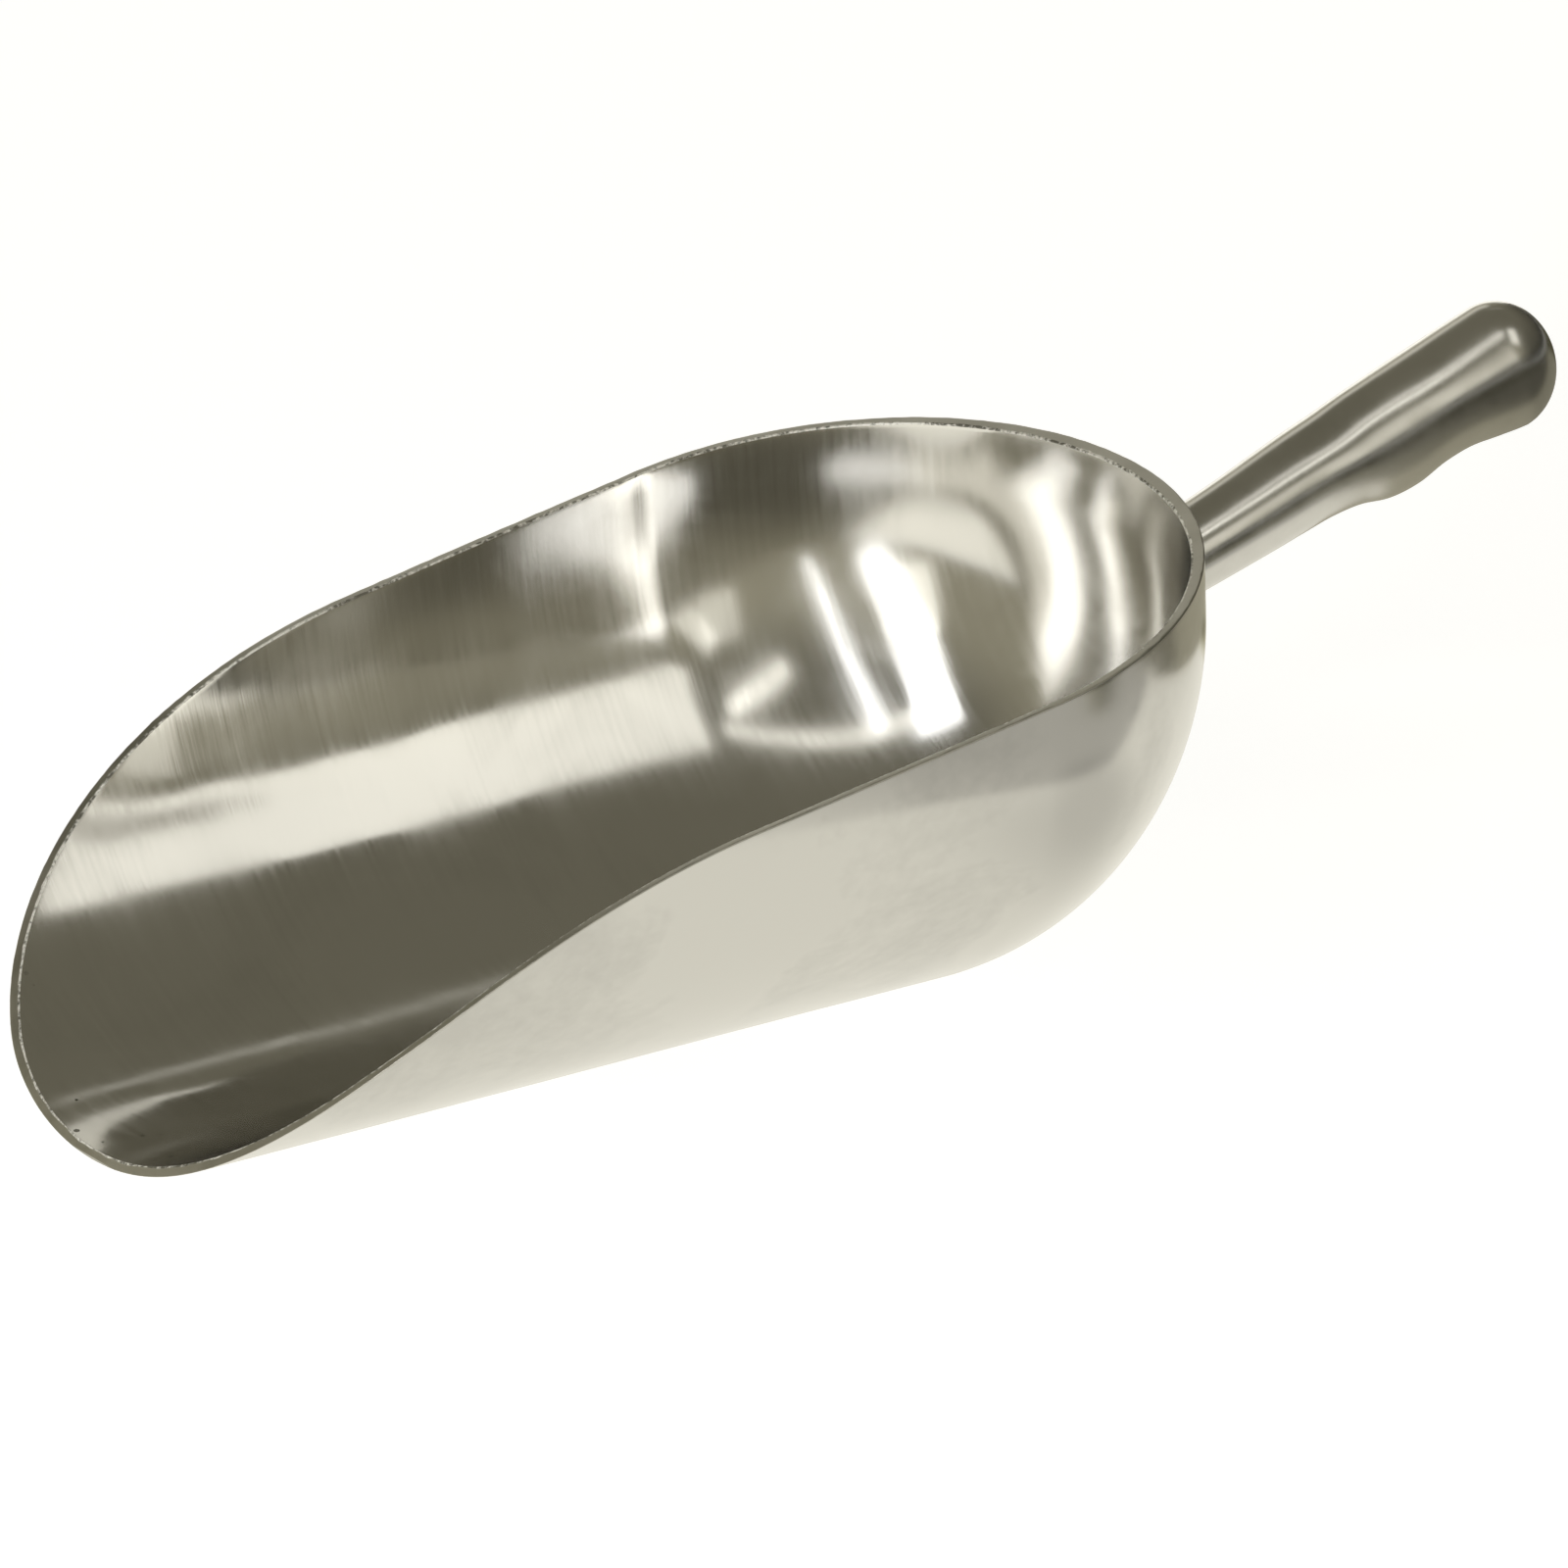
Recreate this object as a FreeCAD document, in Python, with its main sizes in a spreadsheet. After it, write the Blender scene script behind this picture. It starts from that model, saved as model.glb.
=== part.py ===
import FreeCAD, Part
import math
import os
import Sketcher

# Ice scoop with an open trough-shaped bowl and a finger-grooved handle.
# Frame: millimetres, +Z up, +X from the lip to the handle, Y = 0 is the plane of symmetry,
# Z = 0 is the lowest line of the bowl, and the origin is the middle of the bounding box's bottom.

NODES = ("bowl", "handle_root", "handle")

# Driving dimensions: (alias, value, meaning)
DIMENSIONS = (
    ("origin_shift", -195.3, "X of the lip's tip in the part's frame"),
    ("bowl_length", 280.0, "lip's tip to the rear wall, outside"),
    ("half_width", 88.0, "half of the bowl's outside width"),
    ("round_depth", 86.0, "height of the rounded lower part of the section"),
    ("rear_reach", 78.5, "length of the rounded rear end"),
    ("blank_height", 118.0, "height of the bowl before its rim is cut"),
    ("wall_side", 2.6, "thickness of the floor and the side walls"),
    ("wall_rear", 3.9, "thickness of the rear wall"),
    ("rim_height", 102.3, "height of the rim at the rear wall"),
    ("rim_angle", 8.8, "angle of the straight part of the rim, degrees"),
    ("rim_straight_x", 123.5, "where the straight part of the rim begins"),
    ("rim_radius", 189.0, "radius of the long curve of the rim"),
    ("rim_turn_x", 8.5, "where the long curve meets the nose curve"),
    ("root_height", 73.3, "height where the handle's axis meets the rear wall"),
    ("handle_tilt", 18.9, "angle of the handle above level"),
    ("root_length", 10.0, "length of the flared root along the handle's axis"),
    ("root_sink", 20.0, "how far the boss runs back before the bowl trims it"),
    ("boss_radius", 14.5, "radius of the boss on the rear wall"),
    ("root_flare", 14.0, "radius of the arc that narrows the boss to the neck"),
    ("neck_radius", 9.6, "radius of the handle where it leaves the root"),
    ("handle_dome", 13.6, "length of the rounded end"),
)

# Sections of the handle: (distance along the axis, half width, half height, drop of the centre).
# They are evenly spaced, and the underside swells into two ridges with a finger groove between.
SECTIONS = (
    (10.0, 9.6, 9.65, 0.0),
    (17.6, 9.8, 9.95, 0.1),
    (25.2, 10.0, 10.2, 0.2),
    (32.8, 10.3, 10.5, 0.2),
    (40.4, 10.6, 10.8, 0.1),
    (48.0, 11.0, 11.1, 0.1),
    (55.6, 11.3, 11.9, 0.7),
    (63.2, 11.5, 13.65, 1.9),
    (70.8, 11.7, 14.15, 2.2),
    (78.4, 11.9, 13.65, 1.65),
    (86.0, 12.0, 13.8, 1.7),
    (93.6, 12.1, 14.8, 2.5),
    (101.2, 12.1, 15.7, 3.3),
)

doc = FreeCAD.newDocument("ice_scoop")
V = FreeCAD.Vector


def make_sheet():
    """The driving dimensions as named cells."""
    sheet = doc.addObject("Spreadsheet::Sheet", "dims")
    row = 1
    for alias, value, meaning in DIMENSIONS:
        sheet.set("A%d" % row, meaning)
        sheet.set("B%d" % row, str(value))
        sheet.setAlias("B%d" % row, alias)
        row += 1
    for number, section in enumerate(SECTIONS, start=1):
        for name, value in zip(("along", "wide", "tall", "drop"), section):
            alias = "grip_%s_%s" % (name, "abcdefghijklm"[number - 1])
            sheet.set("A%d" % row, "handle section %d: %s" % (number, name))
            sheet.set("B%d" % row, str(value))
            sheet.setAlias("B%d" % row, alias)
            row += 1
    doc.recompute()
    return sheet


def plane(body, role):
    """One of the body's own origin planes."""
    for feature in body.Origin.OriginFeatures:
        if feature.Role == role:
            return feature
    raise RuntimeError("no plane " + role)


def attach(item, body, role):
    """Lay a sketch or a primitive on one of the body's origin planes."""
    item.AttachmentSupport = [(plane(body, role), "")]
    item.MapMode = "FlatFace"


def bind(item, path, expression):
    """Drive one property from the sheet."""
    item.setExpression(path, expression)


def dimension(sketch, constraint, name, expression):
    """Add a named dimension to a sketch and drive it from the sheet."""
    index = sketch.addConstraint(constraint)
    sketch.renameConstraint(index, name)
    bind(sketch, "Constraints." + name, expression)


def join(sketch, first, first_end, second, second_end):
    """Make the ends of two curves one point."""
    sketch.addConstraint(Sketcher.Constraint("Coincident", first, first_end, second, second_end))


def line(sketch, start, end):
    """Add a straight edge to a sketch."""
    return sketch.addGeometry(Part.LineSegment(V(*start), V(*end)), False)


def half_ellipse(sketch, centre, across, reach, axis):
    """Add half an ellipse; axis is the sketch direction of its long diameter, X or Y."""
    middle = V(centre[0], centre[1], 0)
    if axis == "X":
        curve = Part.Ellipse(middle + V(across, 0, 0), middle + V(0, reach, 0), middle)
    else:
        curve = Part.Ellipse(middle + V(0, across, 0), middle + V(-reach, 0, 0), middle)
    index = sketch.addGeometry(Part.ArcOfEllipse(curve, math.pi, 2 * math.pi), False)
    sketch.exposeInternalGeometry(index)
    level = "Horizontal" if axis == "X" else "Vertical"
    sketch.addConstraint(Sketcher.Constraint(level, index + 1))
    sketch.addConstraint(Sketcher.Constraint(level, index, 1, index, 3))
    sketch.addConstraint(Sketcher.Constraint(level, index, 2, index, 3))
    return index


def section_sketch(body, name, wide, deep, top):
    """The trough's cross-section: half an ellipse below and straight sides above."""
    sketch = body.newObject("Sketcher::SketchObject", name)
    attach(sketch, body, "YZ_Plane")
    sketch.AttachmentOffset = FreeCAD.Placement(V(0, 0, -6), FreeCAD.Rotation())
    size = {key: value(text) for key, text in (("wide", wide), ("deep", deep), ("top", top))}
    middle = value("dims.round_depth")
    arc = half_ellipse(sketch, (0, middle), size["wide"], size["deep"], "X")
    right = line(sketch, (size["wide"], middle, 0), (size["wide"], size["top"], 0))
    roof = line(sketch, (size["wide"], size["top"], 0), (-size["wide"], size["top"], 0))
    left = line(sketch, (-size["wide"], size["top"], 0), (-size["wide"], middle, 0))
    join(sketch, arc, 2, right, 1)
    join(sketch, right, 2, roof, 1)
    join(sketch, roof, 2, left, 1)
    join(sketch, left, 2, arc, 1)
    sketch.addConstraint(Sketcher.Constraint("Vertical", right))
    sketch.addConstraint(Sketcher.Constraint("Horizontal", roof))
    sketch.addConstraint(Sketcher.Constraint("Vertical", left))
    sketch.addConstraint(Sketcher.Constraint("PointOnObject", arc, 3, -2))
    dimension(sketch, Sketcher.Constraint("DistanceY", -1, 1, arc, 3, middle),
              "middle_height", "dims.round_depth")
    dimension(sketch, Sketcher.Constraint("Distance", arc + 1, 2 * size["wide"]),
              "full_width", "2 * (%s)" % wide)
    dimension(sketch, Sketcher.Constraint("Distance", arc + 2, 2 * size["deep"]),
              "full_depth", "2 * (%s)" % deep)
    dimension(sketch, Sketcher.Constraint("DistanceY", -1, 1, roof, 1, size["top"]),
              "top_height", top)
    return sketch


def rear_sketch(body, name, wide, reach):
    """The plan of the rear end: half an ellipse closed by a straight line across the bowl."""
    sketch = body.newObject("Sketcher::SketchObject", name)
    attach(sketch, body, "XY_Plane")
    bind(sketch, "AttachmentOffset.Base.z", "dims.round_depth")
    size = {key: value(text) for key, text in (("wide", wide), ("reach", reach))}
    start = value("dims.bowl_length - dims.rear_reach")
    arc = half_ellipse(sketch, (start, 0), size["wide"], size["reach"], "Y")
    chord = line(sketch, (start, size["wide"], 0), (start, -size["wide"], 0))
    join(sketch, arc, 2, chord, 1)
    join(sketch, chord, 2, arc, 1)
    sketch.addConstraint(Sketcher.Constraint("PointOnObject", arc, 3, -1))
    dimension(sketch, Sketcher.Constraint("DistanceX", -1, 1, arc, 3, start),
              "start", "dims.bowl_length - dims.rear_reach")
    dimension(sketch, Sketcher.Constraint("Distance", arc + 1, 2 * size["wide"]),
              "full_width", "2 * (%s)" % wide)
    dimension(sketch, Sketcher.Constraint("Distance", arc + 2, 2 * size["reach"]),
              "full_reach", "2 * (%s)" % reach)
    return sketch


def trough_body(name, wide, deep, reach, top):
    """A solid trough with a rounded rear end: an elliptical bar, an elliptical post above the
    quarter ellipsoid that closes the floor."""
    body = doc.addObject("PartDesign::Body", name)
    bar = body.newObject("PartDesign::Pad", name + "_bar")
    bar.Profile = section_sketch(body, name + "_section", wide, deep, top)
    bind(bar, "Length", "dims.bowl_length - dims.rear_reach + 6")
    doc.recompute()
    post = body.newObject("PartDesign::Pad", name + "_post")
    post.Profile = rear_sketch(body, name + "_plan", wide, reach)
    bind(post, "Length", "(%s) - dims.round_depth" % top)
    doc.recompute()
    knuckle = body.newObject("PartDesign::AdditiveEllipsoid", name + "_knuckle")
    attach(knuckle, body, "XY_Plane")
    knuckle.AttachmentOffset = FreeCAD.Placement(V(0, 0, 0), FreeCAD.Rotation(V(0, 0, 1), -90))
    bind(knuckle, "AttachmentOffset.Base.x", "dims.bowl_length - dims.rear_reach")
    bind(knuckle, "AttachmentOffset.Base.z", "dims.round_depth")
    knuckle.Angle1 = -90
    knuckle.Angle2 = 0
    knuckle.Angle3 = 180
    bind(knuckle, "Radius1", deep)
    bind(knuckle, "Radius2", wide)
    bind(knuckle, "Radius3", reach)
    body.Tip = knuckle
    bind(body, "Placement.Base.x", "dims.origin_shift")
    doc.recompute()
    return body


def rim_body():
    """Everything above the rim: a straight run from the rear, a long curve and the nose curve."""
    body = doc.addObject("PartDesign::Body", "rim_trim")
    sketch = body.newObject("Sketcher::SketchObject", "rim_profile")
    attach(sketch, body, "XZ_Plane")
    slope = math.radians(value("dims.rim_angle"))
    radius = value("dims.rim_radius")
    rear = (value("dims.bowl_length") + 8, value("dims.rim_height") + 8 * math.tan(slope))
    joint_x = value("dims.rim_straight_x")
    joint = (joint_x, rear[1] - (rear[0] - joint_x) * math.tan(slope))
    centre = (joint[0] + radius * math.sin(slope), joint[1] - radius * math.cos(slope))
    turn_x = value("dims.rim_turn_x")
    turn = (turn_x, centre[1] + math.sqrt(radius ** 2 - (turn_x - centre[0]) ** 2))
    inward = ((centre[0] - turn[0]) / radius, (centre[1] - turn[1]) / radius)
    reach = -(turn[0] ** 2 + turn[1] ** 2) / (2 * (turn[0] * inward[0] + turn[1] * inward[1]))
    nose = (turn[0] + reach * inward[0], turn[1] + reach * inward[1])
    low = (nose[0] - math.sqrt(reach ** 2 - (-4 - nose[1]) ** 2), -4)
    top = value("dims.blank_height") + 10

    def bearing(point, about):
        return math.atan2(point[1] - about[1], point[0] - about[0])

    up = V(0, 0, 1)
    long_circle = Part.Circle(V(centre[0], centre[1], 0), up, radius)
    nose_circle = Part.Circle(V(nose[0], nose[1], 0), up, reach)
    long_arc = sketch.addGeometry(Part.ArcOfCircle(
        long_circle, bearing(joint, centre), bearing(turn, centre)), False)
    nose_arc = sketch.addGeometry(Part.ArcOfCircle(
        nose_circle, bearing(turn, nose), bearing(low, nose)), False)
    run = line(sketch, (joint[0], joint[1], 0), (rear[0], rear[1], 0))
    back = line(sketch, (rear[0], rear[1], 0), (rear[0], top, 0))
    roof = line(sketch, (rear[0], top, 0), (-14, top, 0))
    front = line(sketch, (-14, top, 0), (-14, -4, 0))
    sill = line(sketch, (-14, -4, 0), (low[0], -4, 0))
    join(sketch, run, 2, back, 1)
    join(sketch, back, 2, roof, 1)
    join(sketch, roof, 2, front, 1)
    join(sketch, front, 2, sill, 1)
    join(sketch, sill, 2, nose_arc, 2)
    sketch.addConstraint(Sketcher.Constraint("Tangent", long_arc, 1, run, 1))
    sketch.addConstraint(Sketcher.Constraint("Tangent", nose_arc, 1, long_arc, 2))
    sketch.addConstraint(Sketcher.Constraint("PointOnObject", -1, 1, nose_arc))
    for index in (back, front):
        sketch.addConstraint(Sketcher.Constraint("Vertical", index))
    for index in (roof, sill):
        sketch.addConstraint(Sketcher.Constraint("Horizontal", index))
    dimension(sketch, Sketcher.Constraint("Radius", long_arc, radius), "curve", "dims.rim_radius")
    dimension(sketch, Sketcher.Constraint("DistanceX", -1, 1, run, 1, joint[0]),
              "straight_from", "dims.rim_straight_x")
    dimension(sketch, Sketcher.Constraint("DistanceX", -1, 1, run, 2, rear[0]),
              "rear_edge", "dims.bowl_length + 8")
    dimension(sketch, Sketcher.Constraint("DistanceY", -1, 1, run, 2, rear[1]),
              "rear_height", "dims.rim_height + 8 * tan(dims.rim_angle)")
    dimension(sketch, Sketcher.Constraint("DistanceX", -1, 1, nose_arc, 1, turn[0]),
              "turn_from", "dims.rim_turn_x")
    dimension(sketch, Sketcher.Constraint("Angle", run, slope), "rise", "dims.rim_angle")
    dimension(sketch, Sketcher.Constraint("DistanceY", -1, 1, roof, 1, top),
              "roof_height", "dims.blank_height + 10")
    sketch.addConstraint(Sketcher.Constraint("DistanceY", sill, 1, -1, 1, 4))
    sketch.addConstraint(Sketcher.Constraint("DistanceX", sill, 1, -1, 1, 14))
    pad = body.newObject("PartDesign::Pad", "rim_trim_pad")
    pad.Profile = sketch
    pad.SideType = "Symmetric"
    bind(pad, "Length", "2 * dims.half_width + 30")
    body.Tip = pad
    bind(body, "Placement.Base.x", "dims.origin_shift")
    doc.recompute()
    return body


def cut(name, base, tool):
    """Base with the tool's volume taken away."""
    result = doc.addObject("Part::Cut", name)
    result.Base = base
    result.Tool = tool
    doc.recompute()
    return result


def lay_on_handle_axis(body):
    """Turn the body's X axis into the handle's axis, starting at the rear wall."""
    body.Placement = FreeCAD.Placement(V(0, 0, 0), FreeCAD.Rotation(V(0, -1, 0), 18))
    bind(body, "Placement.Base.x", "dims.origin_shift + dims.bowl_length")
    bind(body, "Placement.Base.z", "dims.root_height")
    bind(body, "Placement.Rotation.Angle", "dims.handle_tilt")


def root_body():
    """The boss between bowl and handle: a round bar that an arc narrows to the neck."""
    body = doc.addObject("PartDesign::Body", "root_solid")
    sketch = body.newObject("Sketcher::SketchObject", "root_profile")
    attach(sketch, body, "XY_Plane")
    neck = value("dims.neck_radius")
    boss = value("dims.boss_radius")
    flare = value("dims.root_flare")
    end = value("dims.root_length")
    sink = value("dims.root_sink")
    turn_x = end - math.sqrt(flare ** 2 - (neck + flare - boss) ** 2)
    circle = Part.Circle(V(end, neck + flare, 0), V(0, 0, 1), flare)
    first = math.atan2(boss - neck - flare, turn_x - end)
    arc = sketch.addGeometry(Part.ArcOfCircle(circle, first, -math.pi / 2), False)
    face = line(sketch, (end, neck, 0), (end, 0, 0))
    core = line(sketch, (end, 0, 0), (-sink, 0, 0))
    rear = line(sketch, (-sink, 0, 0), (-sink, boss, 0))
    side = line(sketch, (-sink, boss, 0), (turn_x, boss, 0))
    join(sketch, arc, 2, face, 1)
    join(sketch, face, 2, core, 1)
    join(sketch, core, 2, rear, 1)
    join(sketch, rear, 2, side, 1)
    join(sketch, side, 2, arc, 1)
    for index in (face, rear):
        sketch.addConstraint(Sketcher.Constraint("Vertical", index))
    for index in (core, side):
        sketch.addConstraint(Sketcher.Constraint("Horizontal", index))
    sketch.addConstraint(Sketcher.Constraint("PointOnObject", core, 1, -1))
    sketch.addConstraint(Sketcher.Constraint("Vertical", arc, 3, arc, 2))
    dimension(sketch, Sketcher.Constraint("Radius", arc, flare), "flare", "dims.root_flare")
    dimension(sketch, Sketcher.Constraint("DistanceX", -1, 1, core, 1, end),
              "end", "dims.root_length")
    dimension(sketch, Sketcher.Constraint("DistanceY", core, 1, face, 1, neck),
              "neck", "dims.neck_radius")
    dimension(sketch, Sketcher.Constraint("DistanceY", core, 2, rear, 2, boss),
              "boss", "dims.boss_radius")
    dimension(sketch, Sketcher.Constraint("DistanceX", core, 2, -1, 1, sink),
              "sink", "dims.root_sink")
    turn = body.newObject("PartDesign::Revolution", "root_turn")
    turn.Profile = sketch
    turn.ReferenceAxis = (sketch, ["H_Axis"])
    turn.Angle = 360
    body.Tip = turn
    lay_on_handle_axis(body)
    doc.recompute()
    return body


def grip_sketch(body, letter):
    """One elliptical section across the handle, its long axis upright."""
    sketch = body.newObject("Sketcher::SketchObject", "grip_section_" + letter)
    attach(sketch, body, "YZ_Plane")
    cell = "dims.grip_%s_" + letter
    bind(sketch, "AttachmentOffset.Base.z", cell % "along")
    bind(sketch, "AttachmentOffset.Base.y", "-" + cell % "drop")
    wide = value(cell % "wide")
    tall = value(cell % "tall")
    curve = Part.Ellipse(V(0, tall, 0), V(-wide, 0, 0), V(0, 0, 0))
    index = sketch.addGeometry(curve, False)
    sketch.exposeInternalGeometry(index)
    join(sketch, index, 3, -1, 1)
    sketch.addConstraint(Sketcher.Constraint("Vertical", index + 1))
    dimension(sketch, Sketcher.Constraint("Distance", index + 1, 2 * tall),
              "full_height", "2 * " + cell % "tall")
    dimension(sketch, Sketcher.Constraint("Distance", index + 2, 2 * wide),
              "full_width", "2 * " + cell % "wide")
    return sketch


def handle_body():
    """The grip: a loft through the sections, closed by a rounded end of the last section's size."""
    body = doc.addObject("PartDesign::Body", "handle")
    letters = "abcdefghijklm"[:len(SECTIONS)]
    sketches = [grip_sketch(body, letter) for letter in letters]
    doc.recompute()
    loft = body.newObject("PartDesign::AdditiveLoft", "grip_loft")
    loft.Profile = sketches[0]
    loft.Sections = sketches[1:]
    loft.Ruled = False
    loft.Closed = False
    doc.recompute()
    last = letters[-1]
    dome = body.newObject("PartDesign::AdditiveEllipsoid", "grip_dome")
    attach(dome, body, "YZ_Plane")
    bind(dome, "AttachmentOffset.Base.z", "dims.grip_along_" + last)
    bind(dome, "AttachmentOffset.Base.y", "-dims.grip_drop_" + last)
    dome.Angle1 = 0
    dome.Angle2 = 90
    dome.Angle3 = 360
    bind(dome, "Radius1", "dims.handle_dome")
    bind(dome, "Radius2", "dims.grip_wide_" + last)
    bind(dome, "Radius3", "dims.grip_tall_" + last)
    body.Tip = dome
    lay_on_handle_axis(body)
    doc.recompute()
    return body


def check(nodes):
    """Stop if any object failed, or if any sub-part is not one valid solid."""
    for item in doc.Objects:
        for state in item.State:
            if state in ("Invalid", "Error"):
                raise RuntimeError("%s is %s" % (item.Name, state))
    for node in nodes:
        shape = node.Shape
        if shape.isNull() or not shape.isValid() or len(shape.Solids) != 1:
            raise RuntimeError("%s is not one valid solid" % node.Label)


def export(nodes):
    """Write each sub-part and print its size."""
    os.makedirs("parts", exist_ok=True)
    for node in nodes:
        box = node.Shape.BoundBox
        print("%-12s %9.1f mm3  x %.2f..%.2f  y %.2f..%.2f  z %.2f..%.2f" % (
            node.Label, node.Shape.Volume, box.XMin, box.XMax, box.YMin, box.YMax,
            box.ZMin, box.ZMax))
        node.Shape.exportStep("parts/%s.step" % node.Label)


def value(expression):
    """The number that an expression of the sheet's cells gives."""
    return float(doc.dims.evalExpression(expression.replace("dims.", "")))


def main():
    make_sheet()
    blank = trough_body("bowl_blank", "dims.half_width", "dims.round_depth",
                        "dims.rear_reach", "dims.blank_height")
    hollow = trough_body("bowl_hollow", "dims.half_width - dims.wall_side",
                         "dims.round_depth - dims.wall_side",
                         "dims.rear_reach - dims.wall_rear", "dims.blank_height + 5")
    trimmed = cut("bowl_trimmed", blank, rim_body())
    bowl = cut("bowl", trimmed, hollow)
    root = cut("handle_root", root_body(), blank)
    handle = handle_body()
    nodes = (bowl, root, handle)
    for node, label in zip(nodes, NODES):
        node.Label = label
    doc.recompute()
    check(nodes)
    export(nodes)


main()
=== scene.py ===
import bpy
import math
from mathutils import Matrix, Vector, noise


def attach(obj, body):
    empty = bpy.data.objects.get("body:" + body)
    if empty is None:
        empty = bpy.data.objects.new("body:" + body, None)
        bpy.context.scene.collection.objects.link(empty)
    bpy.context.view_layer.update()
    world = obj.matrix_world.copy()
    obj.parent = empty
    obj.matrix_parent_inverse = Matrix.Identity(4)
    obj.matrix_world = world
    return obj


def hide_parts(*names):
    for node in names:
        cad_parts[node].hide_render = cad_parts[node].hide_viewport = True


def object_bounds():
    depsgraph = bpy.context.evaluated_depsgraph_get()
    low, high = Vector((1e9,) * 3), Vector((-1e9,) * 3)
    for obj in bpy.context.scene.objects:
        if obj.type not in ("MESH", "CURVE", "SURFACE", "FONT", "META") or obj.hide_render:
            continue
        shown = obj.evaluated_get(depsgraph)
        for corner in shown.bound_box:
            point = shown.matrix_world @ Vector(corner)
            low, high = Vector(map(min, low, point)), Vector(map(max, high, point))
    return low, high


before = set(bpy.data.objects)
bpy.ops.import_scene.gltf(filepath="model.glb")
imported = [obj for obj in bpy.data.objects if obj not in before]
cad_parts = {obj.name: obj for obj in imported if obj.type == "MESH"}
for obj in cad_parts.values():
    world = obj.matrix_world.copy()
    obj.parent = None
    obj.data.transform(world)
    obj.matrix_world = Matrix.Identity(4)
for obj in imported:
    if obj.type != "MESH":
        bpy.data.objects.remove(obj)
cad_low, cad_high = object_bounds()

MM = 0.001
TIP = cad_low[0]                 # X of the lip's tip
LENGTH = 280 * MM                # tip to rear wall
HALF = 88 * MM                   # half width, outside
DEPTH = 86 * MM                  # height of the rounded part of the section
REAR = 78.5 * MM                 # length of the rounded rear end
SIDE = 2.6 * MM                  # floor and side walls
BACK = 3.9 * MM                  # rear wall
START = LENGTH - REAR            # where the rear end begins
EDGE = 0.45 * MM                 # how far the rim's broken edges reach down the wall
ROUNDED = 0.42 * MM              # how far they reach across the rim, at most, where it is even
TROUGH_STEPS = 150               # stations along one side of the trough
REAR_STEPS = 120                 # stations round the rear end

# Rim: a straight run from the rear, a long curve, and a nose curve through the tip.
RISE = math.radians(8.8)         # slope of the straight run
RIM_TOP = 102.3 * MM             # height at the rear wall
LONG_R = 189 * MM                # radius of the long curve
RUN_X = 123.5 * MM               # where the straight run meets the long curve
TURN_X = 8.5 * MM                # where the long curve meets the nose curve
RUN_Z = RIM_TOP - (LENGTH - RUN_X) * math.tan(RISE)
LONG_C = (RUN_X + LONG_R * math.sin(RISE), RUN_Z - LONG_R * math.cos(RISE))
TURN_Z = LONG_C[1] + math.sqrt(LONG_R ** 2 - (TURN_X - LONG_C[0]) ** 2)
INWARD = ((LONG_C[0] - TURN_X) / LONG_R, (LONG_C[1] - TURN_Z) / LONG_R)
NOSE_R = -(TURN_X ** 2 + TURN_Z ** 2) / (2 * (TURN_X * INWARD[0] + TURN_Z * INWARD[1]))
NOSE_C = (TURN_X + NOSE_R * INWARD[0], TURN_Z + NOSE_R * INWARD[1])


def rim_z(x):
    """Height of the rim at distance x from the tip."""
    if x >= RUN_X:
        return RUN_Z + (x - RUN_X) * math.tan(RISE)
    if x >= TURN_X:
        return LONG_C[1] + math.sqrt(LONG_R ** 2 - (x - LONG_C[0]) ** 2)
    return NOSE_C[1] + math.sqrt(max(NOSE_R ** 2 - (x - NOSE_C[0]) ** 2, 0))


def nose_x(z):
    """Distance from the tip at which the rim is at height z, near the tip."""
    return NOSE_C[0] - math.sqrt(NOSE_R ** 2 - (z - NOSE_C[1]) ** 2)


def below_rim(point):
    """Distance from a point of the wall to the rim, square to the rim's line."""
    x = max(point.x - TIP, 0.5 * MM)
    slope = (rim_z(x + 0.5 * MM) - rim_z(x - 0.5 * MM)) / MM
    return max(0.0, rim_z(x) - point.z) / math.sqrt(1 + slope ** 2)


def hand_worked(point, depth):
    """How far a hand-polished face lies off its true form at a point."""
    wide = noise.noise(point * 24.0)
    fine = noise.noise(point * 85.0 + Vector((7, 3, 5)))
    crease = math.exp(-((point.x - TIP - START - 1.5 * MM) / (2.2 * MM)) ** 2)
    lip = 1 + 3.5 * math.exp(-(point.x - TIP) / (38 * MM))
    return depth * (wide * lip + 0.22 * fine - 0.28 * crease)


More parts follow.
